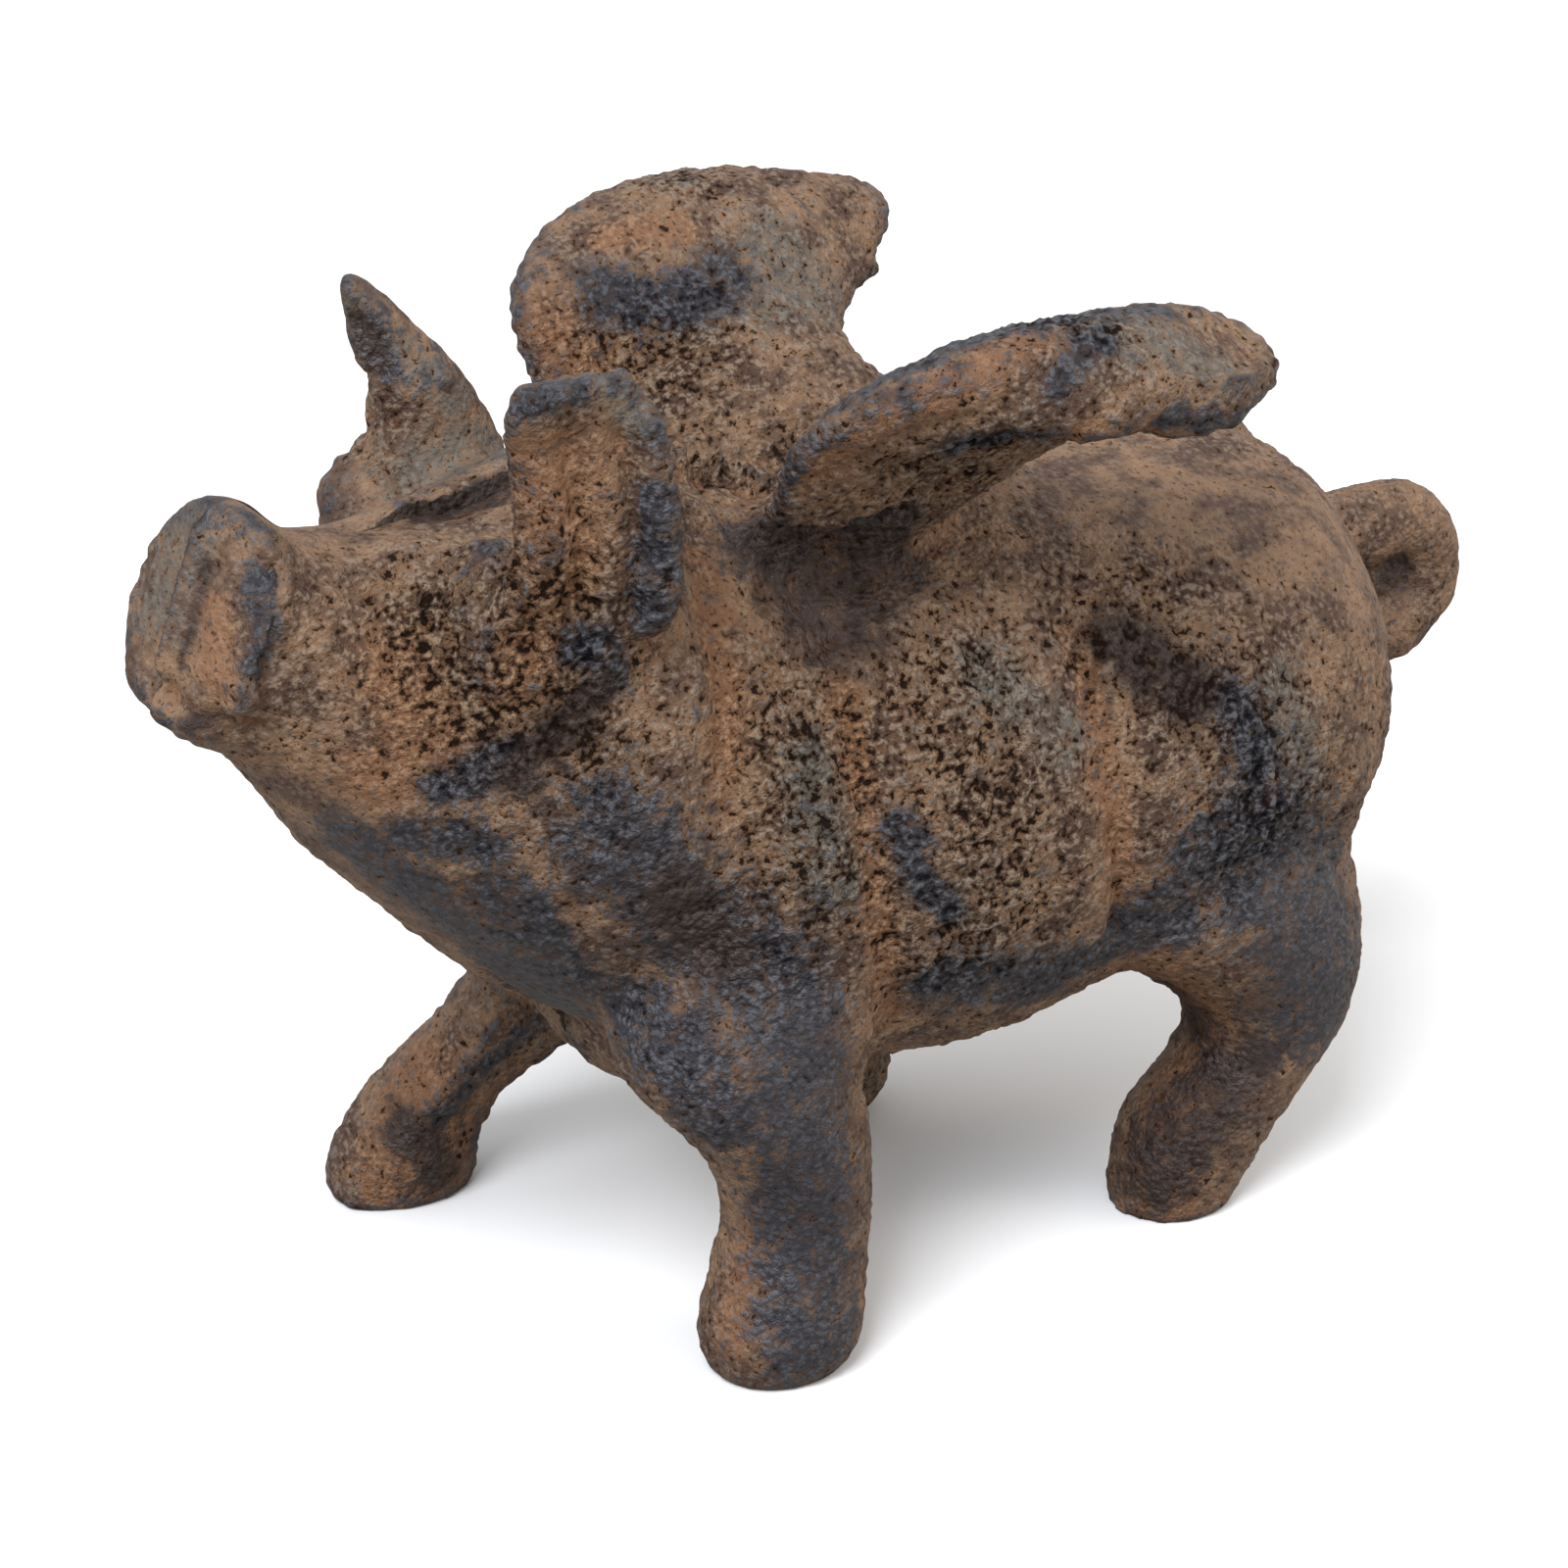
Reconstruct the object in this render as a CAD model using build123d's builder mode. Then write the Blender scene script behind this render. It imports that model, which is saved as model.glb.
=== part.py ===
from build123d import *
import math
import os

os.makedirs("parts", exist_ok=True)

# A small cast iron pig with wings, walking, with its head raised.
# The head points to -X, its left side is -Y, and the soles of its feet stand on Z = 0.
# It is cast as two hollow halves that meet on the middle plane Y = 0.

# Driving dimensions
trunk_length = 66.8
trunk_width = 44.0
trunk_depth = 42.0
trunk_axis_height = 36.0
brisket_x = -26.8
head_length = 41.5
head_width = 35.4
head_depth = 39.4
head_axis_height = 40.0
neck_x = -11.3
snout_tilt = 23.0
foreleg_height = 32.0
hind_leg_height = 30.0
ear_height = 22.0
ear_length = 9.6
ear_thickness = 5.0
wing_span = 23.4
wing_chord = 30.0
wing_rise = 20.5
wing_thickness = 8.4
wing_pitch = 20.0
tail_wire = 6.4
tail_curl_radius = 4.1

rump_end_x = brisket_x + trunk_length

# The castings
wall = 5.5
boss_diameter = 11.0
fit_clearance = 0.05
overrun = 1.0

# Where each foot stands: the middle of its sole along X, and out from the middle plane
left_fore_foot = (-18.3, 15.3)
right_fore_foot = (-27.6, 21.0)
left_hind_foot = (18.6, 12.6)
right_hind_foot = (4.3, 14.4)

# Slotted cheese head screws that clamp the halves, heads on the right flank
screw_diameter = 4.0
screw_length = 25.0
screw_head_diameter = 7.0
screw_head_height = 2.6
screw_slot_width = 1.2
screw_slot_depth = 1.1
screw_tip_chamfer = 0.4
screw_head_clearance = 0.2
thread_runout = 1.5
neck_screw_forward = 12.7
neck_screw_rise = 4.0
neck_screw_depth = 5.1
withers_screw_back = 23.8
withers_screw_rise = 9.0
withers_screw_depth = 7.4
rump_screw_forward = 11.0
rump_screw_rise = 2.0
rump_screw_depth = 6.4
neck_screw_place = (neck_x - neck_screw_forward, head_axis_height + neck_screw_rise)
withers_screw_place = (brisket_x + withers_screw_back, trunk_axis_height + withers_screw_rise)
rump_screw_place = (rump_end_x - rump_screw_forward, trunk_axis_height + rump_screw_rise)

# Dowel pins that locate the halves
dowel_diameter = 3.0
dowel_length = 12.0
dowel_chamfer = 0.3
dowel_boss_diameter = 8.0
dowel_boss_length = 9.0
snout_dowel_forward = 31.2
snout_dowel_rise = 11.5
belly_dowel_back = 30.8
snout_dowel_place = (neck_x - snout_dowel_forward, head_axis_height + snout_dowel_rise)
belly_dowel_place = (brisket_x + belly_dowel_back, trunk_axis_height - trunk_depth / 2 + wall)

# The tail: a root trapped between the halves, a straight neck and an open curl
tail_root_depth = 4.0
tail_root_rise = 7.8
tail_root_place = (rump_end_x - tail_root_depth, trunk_axis_height + tail_root_rise)
tail_neck_length = 11.77
tail_curl_angle = 215.0
tail_tip_chamfer = 1.0
tail_collar_diameter = 9.0
tail_collar_thickness = 2.5

# Trunk: place along its length, height of the middle, half width and half depth
trunk_shares = [
    (0.000, 0.945, 0.36, 0.43),
    (0.020, 0.960, 0.61, 0.67),
    (0.070, 0.980, 0.81, 0.87),
    (0.190, 1.000, 0.92, 0.98),
    (0.325, 1.000, 0.955, 1.00),
    (0.440, 0.990, 0.98, 1.00),
    (0.600, 1.017, 1.00, 0.943),
    (0.745, 1.045, 0.98, 0.87),
    (0.860, 1.045, 0.865, 0.82),
    (0.940, 1.040, 0.65, 0.650),
    (0.983, 1.040, 0.37, 0.370),
    (1.000, 1.045, 0.14, 0.150),
]
trunk_cavity_stations = slice(3, 9)

# Head: place forward of the neck, height of the middle, tilt, half width and half depth
head_shares = [
    (0.000, 1.000, 0.00, 0.76, 0.80),
    (0.105, 1.010, 0.17, 0.90, 0.95),
    (0.260, 1.048, 0.35, 0.97, 0.99),
    (0.425, 1.125, 0.61, 0.95, 0.90),
    (0.577, 1.188, 0.78, 0.755, 0.715),
    (0.718, 1.255, 0.91, 0.57, 0.55),
    (0.835, 1.337, 0.96, 0.42, 0.406),
    (0.908, 1.388, 0.98, 0.36, 0.37),
    (0.968, 1.425, 1.00, 0.385, 0.38),
    (0.993, 1.440, 1.00, 0.30, 0.305),
]
head_cavity_stations = slice(0, 4)

# Legs: height of the section, its shift backward and outward from the foot, then
# its half length and half width, all as shares of the leg's height
left_foreleg_shares = [
    (0.00, 0.00, 0.00, 0.150, 0.140),
    (0.11, 0.015, 0.00, 0.186, 0.165),
    (0.29, 0.055, -0.01, 0.168, 0.150),
    (0.46, 0.050, -0.02, 0.168, 0.165),
    (0.60, -0.005, -0.04, 0.215, 0.195),
    (0.72, -0.030, -0.07, 0.280, 0.220),
    (1.00, 0.040, -0.13, 0.330, 0.215),
]
right_foreleg_shares = [
    (0.00, 0.00, 0.00, 0.175, 0.140),
    (0.13, 0.02, -0.005, 0.175, 0.150),
    (0.28, 0.12, -0.04, 0.170, 0.150),
    (0.42, 0.285, -0.11, 0.235, 0.165),
    (0.64, 0.45, -0.18, 0.270, 0.200),
    (1.00, 0.36, -0.29, 0.330, 0.215),
]
left_hind_leg_shares = [
    (0.00, 0.00, 0.00, 0.155, 0.150),
    (0.13, 0.05, 0.00, 0.190, 0.170),
    (0.29, 0.145, 0.02, 0.205, 0.175),
    (0.44, 0.245, 0.045, 0.205, 0.180),
    (0.58, 0.235, 0.045, 0.262, 0.210),
    (1.00, 0.210, -0.06, 0.370, 0.240),
]
right_hind_leg_shares = [
    (0.00, 0.00, 0.00, 0.150, 0.150),
    (0.13, 0.06, 0.00, 0.175, 0.165),
    (0.29, 0.065, 0.01, 0.175, 0.175),
    (0.44, 0.14, 0.000, 0.190, 0.180),
    (0.60, 0.29, -0.02, 0.245, 0.210),
    (1.00, 0.54, -0.06, 0.370, 0.240),
]

# Ears: height above the ear's root, shift backward and outward, half length and half thickness
ear_root_forward = 18.9
ear_root_out = 11.5
ear_root_rise = 11.0
ear_root = (neck_x - ear_root_forward, ear_root_out, head_axis_height + ear_root_rise)
left_ear_shares = [
    (-0.25, 0.02, -0.25, 1.00, 1.00),
    (0.00, 0.01, -0.06, 1.36, 1.40),
    (0.25, -0.01, 0.06, 1.34, 1.35),
    (0.50, -0.04, 0.15, 1.16, 1.05),
    (0.75, -0.075, 0.165, 1.12, 0.86),
    (0.91, -0.105, 0.16, 1.00, 0.72),
    (0.98, -0.11, 0.155, 0.70, 0.40),
]
right_ear_shares = [
    (-0.25, 0.02, -0.25, 1.00, 1.00),
    (0.00, 0.02, -0.06, 1.45, 1.40),
    (0.22, 0.085, 0.06, 1.45, 1.65),
    (0.44, 0.12, 0.075, 1.08, 1.25),
    (0.68, 0.055, 0.10, 0.72, 0.86),
    (0.88, -0.035, 0.14, 0.38, 0.56),
    (0.97, -0.075, 0.155, 0.14, 0.26),
]

# Wings: distance out from the root, shift backward, height above the root, half chord,
# half thickness and pitch, which is positive where the front edge is the lower one
wing_root_back = 20.5
wing_root_out = 4.0
wing_root_rise = 13.5
wing_root = (brisket_x + wing_root_back, wing_root_out, trunk_axis_height + wing_root_rise)
wing_shares = [
    (0.000, 0.000, 0.000, 0.360, 1.00, 1.00),
    (0.234, 0.005, 0.454, 0.382, 1.09, 0.85),
    (0.469, 0.072, 0.722, 0.472, 1.05, 0.40),
    (0.645, 0.175, 0.895, 0.538, 1.00, 0.10),
    (0.799, 0.260, 0.945, 0.485, 0.93, -0.15),
    (0.923, 0.325, 0.905, 0.350, 0.76, -0.40),
    (1.000, 0.375, 0.875, 0.180, 0.43, -0.50),
]


def ellipse_skin(sections):
    """One closed skin lofted through ellipses, each given as a plane and two radii."""
    with BuildPart() as skin:
        for plane, first_radius, second_radius in sections:
            with BuildSketch(plane):
                Ellipse(first_radius, second_radius)
        loft()
    return skin.part


def trunk_sections(inset, stations=slice(None)):
    """Upright sections across the trunk, inset from its outer surface."""
    sections = []
    for along, middle, half_width, half_depth in trunk_shares[stations]:
        place = (brisket_x + along * trunk_length, 0, middle * trunk_axis_height)
        plane = Plane(origin=place, x_dir=(0, 1, 0), z_dir=(1, 0, 0))
        wide = half_width * trunk_width / 2 - inset
        deep = half_depth * trunk_depth / 2 - inset
        sections.append((plane, wide, deep))
    return sections


def head_sections(inset, stations=slice(None)):
    """Sections across the head, which lean back more and more towards the raised snout."""
    sections = []
    for along, middle, lean, half_width, half_depth in head_shares[stations]:
        place = (neck_x - along * head_length, 0, middle * head_axis_height)
        angle = math.radians(lean * snout_tilt)
        forward = (-math.cos(angle), 0, math.sin(angle))
        plane = Plane(origin=place, x_dir=(0, 1, 0), z_dir=forward)
        wide = half_width * head_width / 2 - inset
        deep = half_depth * head_depth / 2 - inset
        sections.append((plane, wide, deep))
    return sections


def leg_sections(foot, leg_height, shares):
    """Level sections up a leg, from the flat sole into the trunk."""
    sections = []
    for up, back, out, half_length, half_width in shares:
        place = (foot[0] + back * leg_height, foot[1] + out * leg_height, up * leg_height)
        sections.append((Plane(origin=place), half_length * leg_height, half_width * leg_height))
    return sections


def ear_sections(shares):
    """Level sections up an ear, a flat blade along the head that leans outward."""
    sections = []
    for up, back, out, half_length, half_thickness in shares:
        place = (
            ear_root[0] + back * ear_height,
            ear_root[1] + out * ear_height,
            ear_root[2] + up * ear_height,
        )
        sections.append((Plane(origin=place), half_length * ear_length / 2, half_thickness * ear_thickness / 2))
    return sections


def wing_sections():
    """Upright sections across a wing, one after the other from its root outward."""
    sections = []
    for out, back, up, half_chord, half_thickness, pitch in wing_shares:
        place = (
            wing_root[0] + back * wing_chord,
            wing_root[1] + out * wing_span,
            wing_root[2] + up * wing_rise,
        )
        angle = math.radians(pitch * wing_pitch)
        plane = Plane(origin=place, x_dir=(math.cos(angle), 0, math.sin(angle)), z_dir=(0, 1, 0))
        sections.append((plane, half_chord * wing_chord, half_thickness * wing_thickness / 2))
    return sections


# Outer forms and cavities. The limbs of both halves are modelled on the right of the middle
# plane, and the left half is mirrored when it is whole.
trunk = ellipse_skin(trunk_sections(0))
trunk_cavity = ellipse_skin(trunk_sections(wall, trunk_cavity_stations))
head = ellipse_skin(head_sections(0))
head_cavity = ellipse_skin(head_sections(wall, head_cavity_stations))
wing = ellipse_skin(wing_sections())
left_limbs = [
    ellipse_skin(leg_sections(left_fore_foot, foreleg_height, left_foreleg_shares)),
    ellipse_skin(leg_sections(left_hind_foot, hind_leg_height, left_hind_leg_shares)),
    ellipse_skin(ear_sections(left_ear_shares)),
    wing,
]
right_limbs = [
    ellipse_skin(leg_sections(right_fore_foot, foreleg_height, right_foreleg_shares)),
    ellipse_skin(leg_sections(right_hind_foot, hind_leg_height, right_hind_leg_shares)),
    ellipse_skin(ear_sections(right_ear_shares)),
    wing,
]

screws = {
    "neck_screw": (neck_screw_place, head_width / 2 - neck_screw_depth),
    "withers_screw": (withers_screw_place, trunk_width / 2 - withers_screw_depth),
    "rump_screw": (rump_screw_place, trunk_width / 2 - rump_screw_depth),
}
dowels = {
    "snout_dowel": snout_dowel_place,
    "belly_dowel": belly_dowel_place,
}


def round_bar(place, diameter, start, end):
    """A round bar across the middle plane, from start to end along Y."""
    with BuildPart() as bar:
        with BuildSketch(Plane.XZ.offset(-start)):
            with Locations(place):
                Circle(diameter / 2)
        extrude(amount=start - end)
    return bar.part


def tail_form(clearance):
    """The tail's collar, neck and curl, grown by a clearance where it cuts its own pocket."""
    root = Vector(tail_root_place[0], 0, tail_root_place[1])
    bend = root + Vector(tail_neck_length, 0, 0)
    curl_centre = bend - Vector(0, 0, tail_curl_radius)
    spoke = Vector(0, 0, tail_curl_radius)
    middle = curl_centre + spoke.rotate(Axis.Y, tail_curl_angle / 2)
    end = curl_centre + spoke.rotate(Axis.Y, tail_curl_angle)
    with BuildPart() as form:
        with BuildLine():
            Line(root, bend)
            ThreePointArc(bend, middle, end)
        with BuildSketch(Plane(origin=root, z_dir=(1, 0, 0))):
            Circle(tail_wire / 2 + clearance)
        sweep()
        tip = form.faces().filter_by(GeomType.PLANE).sort_by_distance(end)[0]
        chamfer(tip.edges(), length=tail_tip_chamfer)
        with BuildSketch(Plane(origin=root - Vector(clearance, 0, 0), z_dir=(1, 0, 0))):
            Circle(tail_collar_diameter / 2 + clearance)
        extrude(amount=tail_collar_thickness + 2 * clearance)
    return form


# The hollow stops short of the bosses, which so run from the middle plane right into the wall
with BuildPart() as hollow:
    add([trunk_cavity, head_cavity])
    for place, seat in screws.values():
        add(round_bar(place, boss_diameter, 0, trunk_width / 2), mode=Mode.SUBTRACT)
    add(round_bar(belly_dowel_place, dowel_boss_diameter, 0, dowel_boss_length), mode=Mode.SUBTRACT)


def casting_half(limbs, takes_screw_heads):
    """One half of the casting, hollow, with its bosses, on the right of the middle plane."""
    holes = [hollow.part, tail_form(fit_clearance).part]
    bore = screw_diameter + 2 * fit_clearance
    recess = screw_head_diameter + 2 * screw_head_clearance
    for place, seat in screws.values():
        if takes_screw_heads:
            holes.append(round_bar(place, bore, 0, seat))
            holes.append(round_bar(place, recess, seat, trunk_width))
        else:
            holes.append(round_bar(place, bore, 0, screw_length - seat + thread_runout))
    for place in dowels.values():
        depth = dowel_length / 2 + fit_clearance
        holes.append(round_bar(place, dowel_diameter + 2 * fit_clearance, 0, depth))
    with BuildPart() as half:
        add([trunk, head])
        split(bisect_by=Plane.XZ, keep=Keep.BOTTOM)
        for limb in limbs:
            add(limb)
        add(holes, mode=Mode.SUBTRACT)
    return half


def cheese_head_screw(place, seat):
    """A slotted screw whose head seats in the right half and whose tip is in the left one."""
    seat_plane = Plane(origin=(place[0], seat, place[1]), x_dir=(1, 0, 0), z_dir=(0, 1, 0))
    with BuildPart() as screw:
        with BuildSketch(seat_plane):
            Circle(screw_head_diameter / 2)
        extrude(amount=screw_head_height)
        with BuildSketch(seat_plane):
            Circle(screw_diameter / 2)
        extrude(amount=-screw_length)
        tip = screw.faces().sort_by(Axis.Y)[0]
        chamfer(tip.edges(), length=screw_tip_chamfer)
        with BuildSketch(seat_plane.offset(screw_head_height)):
            Rectangle(screw_head_diameter + overrun, screw_slot_width)
        extrude(amount=-screw_slot_depth, mode=Mode.SUBTRACT)
    return screw


def dowel_pin(place):
    """A plain pin with chamfered ends, half of it in each half of the casting."""
    with BuildPart() as pin:
        with BuildSketch(Plane.XZ.offset(-dowel_length / 2)):
            with Locations(place):
                Circle(dowel_diameter / 2)
        extrude(amount=dowel_length)
        chamfer(pin.edges().filter_by(GeomType.CIRCLE), length=dowel_chamfer)
    return pin


# The finished pieces
right_half = casting_half(right_limbs, takes_screw_heads=True)
left_half = casting_half(left_limbs, takes_screw_heads=False)
with BuildPart() as mirrored_left_half:
    mirror(left_half.part, about=Plane.XZ)

pieces = {
    "left_casting": mirrored_left_half,
    "right_casting": right_half,
    "tail": tail_form(0),
}
for name, (place, seat) in screws.items():
    pieces[name] = cheese_head_screw(place, seat)
for name, place in dowels.items():
    pieces[name] = dowel_pin(place)

for name, piece in pieces.items():
    piece.part.label = name
    export_step(piece.part, f"parts/{name}.step")
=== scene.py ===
import bpy
import bmesh
import math
import numpy as np
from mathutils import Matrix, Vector, noise


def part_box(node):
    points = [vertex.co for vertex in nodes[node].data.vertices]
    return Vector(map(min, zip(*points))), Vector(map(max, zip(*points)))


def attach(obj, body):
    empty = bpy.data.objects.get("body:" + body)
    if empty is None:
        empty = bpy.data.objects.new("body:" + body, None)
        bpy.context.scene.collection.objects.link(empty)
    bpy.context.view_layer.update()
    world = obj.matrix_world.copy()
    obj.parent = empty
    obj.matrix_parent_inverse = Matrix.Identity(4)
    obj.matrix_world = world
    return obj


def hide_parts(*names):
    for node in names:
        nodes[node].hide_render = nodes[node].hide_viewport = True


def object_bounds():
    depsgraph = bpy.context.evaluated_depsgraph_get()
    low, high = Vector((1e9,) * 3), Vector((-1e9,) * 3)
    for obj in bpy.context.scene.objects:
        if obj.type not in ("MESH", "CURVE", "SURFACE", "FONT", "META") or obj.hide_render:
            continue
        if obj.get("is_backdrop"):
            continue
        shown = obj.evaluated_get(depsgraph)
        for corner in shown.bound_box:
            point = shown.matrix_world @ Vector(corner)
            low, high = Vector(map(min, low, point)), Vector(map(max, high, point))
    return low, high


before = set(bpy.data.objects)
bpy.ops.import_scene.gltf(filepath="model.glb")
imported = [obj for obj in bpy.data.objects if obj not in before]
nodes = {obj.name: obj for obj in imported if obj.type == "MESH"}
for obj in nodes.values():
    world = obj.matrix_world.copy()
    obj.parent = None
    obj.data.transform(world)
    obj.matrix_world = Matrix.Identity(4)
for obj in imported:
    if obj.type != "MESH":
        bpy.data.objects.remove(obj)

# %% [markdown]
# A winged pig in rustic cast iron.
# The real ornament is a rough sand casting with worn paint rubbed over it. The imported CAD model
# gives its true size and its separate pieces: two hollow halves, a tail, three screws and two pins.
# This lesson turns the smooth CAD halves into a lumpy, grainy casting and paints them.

MM = 0.001
cad_low, cad_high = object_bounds()
print("CAD box in mm:", [round(v / MM, 2) for v in (*cad_low, *cad_high)])

# %% [markdown]
# Taking a half apart.
# A half of the real casting is a shell with a rough outside and a hidden inside. Only the outside is
# sculpted, so the two are parted first: with the flat faces on the parting plane gone, the outer skin
# and the inside are loose from each other, and the outer skin is the longest loose part.

# %% Take the halves apart
ON_PLANE = 1e-6  # m from the parting plane
WELD = 1e-6  # m between points that are one
OUTWARD = {"left_casting": -1, "right_casting": 1}


def length(part):
    """How far a list of faces reaches along the pig."""
    along = [v.co.x for f in part for v in f.verts]
    return max(along) - min(along)


def islands(bm):
    """The loose parts of a mesh, as lists of faces, the longest part first."""
    todo = set(bm.faces)
    parts = []
    while todo:
        stack = [todo.pop()]
        part = []
        while stack:
            face = stack.pop()
            part.append(face)
            for edge in face.edges:
                for other in edge.link_faces:
                    if other in todo:
                        todo.discard(other)
                        stack.append(other)
        parts.append(part)
    return sorted(parts, key=length, reverse=True)


def half_in_parts(node):
    """The outer skin of a casting half and its inside faces, both open along the parting plane."""
    skin = bmesh.new()
    skin.from_mesh(node.data)
    bmesh.ops.remove_doubles(skin, verts=skin.verts, dist=WELD)
    flat = [f for f in skin.faces if all(abs(v.co.y) < ON_PLANE for v in f.verts)]
    bmesh.ops.delete(skin, geom=flat, context="FACES")
    inside = skin.copy()
    for bm, unwanted in ((skin, islands(skin)[1:]), (inside, islands(inside)[:1])):
        bmesh.ops.delete(bm, geom=[f for part in unwanted for f in part], context="FACES")
    return skin, inside


skins = {}
insides = {}
for name in OUTWARD:
    skins[name], insides[name] = half_in_parts(nodes[name])
    print(name, "has", len(skins[name].faces), "outer and", len(insides[name].faces), "inner faces")

# %% [markdown]
# Clay from the CAD model.
# A CAD skin has long thin triangles, which can't be sculpted. A voxel remesh gives even ones, but it
# rounds every sharp edge. So the skin is first grown a little past the parting plane, and cut back to
# that plane at the end, which keeps the joint crisp. The cavity, the bosses and the bores stay as the
# CAD made them, and so do the recesses of the screws.

# %% Remesh the outer skins
VOXEL = 0.40  # mm, fine enough for the clumps of sand, and under 200,000 triangles for each half
GROWTH = 2.0  # mm past the parting plane, more than the remesh rounds off


def new_object(name, mesh):
    """A new object in the scene."""
    thing = bpy.data.objects.new(name, mesh)
    bpy.context.scene.collection.objects.link(thing)
    return thing


def open_edges(bm):
    """The edges that have a face on one side only."""
    return [e for e in bm.edges if len(e.link_faces) == 1]


def remeshed(name, bm, voxel=VOXEL):
    """Even clay from a closed skin."""
    mesh = bpy.data.meshes.new(name)
    bm.to_mesh(mesh)
    source = new_object(name, mesh)
    remesh = source.modifiers.new("even", "REMESH")
    remesh.mode = "VOXEL"
    remesh.voxel_size = voxel * MM
    evaluated = source.evaluated_get(bpy.context.evaluated_depsgraph_get())
    clay = bpy.data.meshes.new_from_object(evaluated)
    bpy.data.objects.remove(source)
    return clay


def outer_clay(name, outward):
    """Clay for one half, grown past the parting plane."""
    skin = skins[name]
    grown = bmesh.ops.extrude_edge_only(skin, edges=open_edges(skin))["geom"]
    for vert in [g for g in grown if isinstance(g, bmesh.types.BMVert)]:
        vert.co.y -= outward * GROWTH * MM
    bmesh.ops.triangle_fill(skin, edges=open_edges(skin), use_beauty=False)
    bmesh.ops.recalc_face_normals(skin, faces=skin.faces)
    return remeshed(name + "_clay", skin)


clay_meshes = {name: outer_clay(name, outward) for name, outward in OUTWARD.items()}
for name, mesh in clay_meshes.items():
    print(name, "clay has", len(mesh.polygons), "faces")

# %% [markdown]
# Sculpting with named strokes.
# A sculptor pushes clay with a round tool. Here a stroke is a few points in millimetres, a width and
# a height: the clay near the points moves along its normal, out for a ridge and in for a crease.
# Strokes written as numbers are easy to move while the render is compared with the photograph.

# %% The sculpting tool
class Clay:
    """A mesh in millimetres that can be smoothed, pushed and written back."""

    def __init__(self, mesh):
        self.mesh = mesh
        self.count = len(mesh.vertices)
        flat = np.empty(self.count * 3, np.float32)
        mesh.vertices.foreach_get("co", flat)
        self.at = flat.reshape(-1, 3).astype(float) / MM
        pairs = np.empty(len(mesh.edges) * 2, np.int32)
        mesh.edges.foreach_get("vertices", pairs)
        pairs = pairs.reshape(-1, 2)
        self.start = np.concatenate((pairs[:, 0], pairs[:, 1]))
        self.end = np.concatenate((pairs[:, 1], pairs[:, 0]))
        self.valence = np.maximum(np.bincount(self.start, minlength=self.count), 1)
        self.free = np.ones(self.count)

    def hold(self, x, z, inner, outer, flank=5):
        """Keeps the clay still around a hole that runs in from the right flank."""
        away = np.hypot(self.at[:, 0] - x, self.at[:, 2] - z)
        held = np.clip((away - inner) / (outer - inner), 0, 1)
        self.free = np.minimum(self.free, np.where(self.at[:, 1] > flank, held, 1))

    def around(self, values):
        """The mean of each point's neighbours, for one value or three per point."""
        table = values.reshape(self.count, -1)
        sums = [np.bincount(self.start, column[self.end], self.count) for column in table.T]
        return (np.stack(sums, 1) / self.valence[:, None]).reshape(values.shape)

    def write(self):
        """Puts the points back in the mesh."""
        self.mesh.vertices.foreach_set("co", (self.at * MM).astype(np.float32).ravel())
        self.mesh.update()

    def normals(self):
        """The outward direction at each point."""
        self.write()
        flat = np.empty(self.count * 3, np.float32)
        self.mesh.vertex_normals.foreach_get("vector", flat)
        return flat.reshape(-1, 3).astype(float)

    def blend(self, times, filling=0.5, wearing=0.06):
        """Fills the corners where forms meet, and wears the crests much less."""
        for step in range(times):
            if step % 5 == 0:  # the normals change slowly, so every fifth pass is enough
                normals = self.normals()
            shift = self.around(self.at) - self.at
            rise = (shift * normals).sum(1, keepdims=True)
            self.at += np.where(rise > 0, filling, wearing) * shift * self.free[:, None]

    def near(self, points, width):
        """How strongly each point feels a stroke, 1 on it and fading over its width."""
        ends = [np.array(p, float) for p in points]
        path = [ends[0]]
        for a, b in zip(ends, ends[1:]):
            steps = max(1, int(np.linalg.norm(b - a) / (width / 2)))
            path += [a + (b - a) * (i + 1) / steps for i in range(steps)]
        path = np.array(path)
        reach = 3 * width + 4  # further off, a stroke is too weak to matter
        low, high = path.min(0) - reach, path.max(0) + reach
        close = np.flatnonzero(((self.at > low) & (self.at < high)).all(1))
        felt = np.zeros(self.count)
        if len(close) == 0:
            return felt
        local = self.at[close]
        gaps = np.linalg.norm(local[:, None] - path[None], axis=2)
        path = local[gaps.argmin(0)]  # the points are pulled onto the clay
        gaps = np.linalg.norm(local[:, None] - path[None], axis=2).min(1)
        felt[close] = np.exp(-((gaps / width) ** 2))
        return felt

    def stroke(self, points, width, height, along=None):
        """Moves the clay near the points by a height, along its normal or a given direction."""
        felt = self.near(points, width) * self.free
        if felt.max() > 0.01:
            way = self.normals() if along is None else np.array(along, float)
            self.at += felt[:, None] * way * height

    def soften(self, points, width, times, pull=0.6):
        """Rubs the clay smooth near the points."""
        felt = self.near(points, width)[:, None]
        for _ in range(times):
            self.at += pull * felt * (self.around(self.at) - self.at)


clays = {name: Clay(mesh) for name, mesh in clay_meshes.items()}
print("points of clay:", {name: clay.count for name, clay in clays.items()})

# %% [markdown]
# Blending the forms.
# The CAD legs, ears and wings meet the body in sharp corners, and on the real pig the modeller's thumb
# has filled them. Passes of smoothing fill such corners, and move a crest much less. The clay around
# the three screw recesses is held still from here on, so the screw heads stay free.

# %% Blend the forms of both halves
HELD, LET_GO = 3.9, 5.2  # mm from a screw's axis, around a recess of 3.7 mm radius
BLEND_PASSES = 60
before = {}


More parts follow.
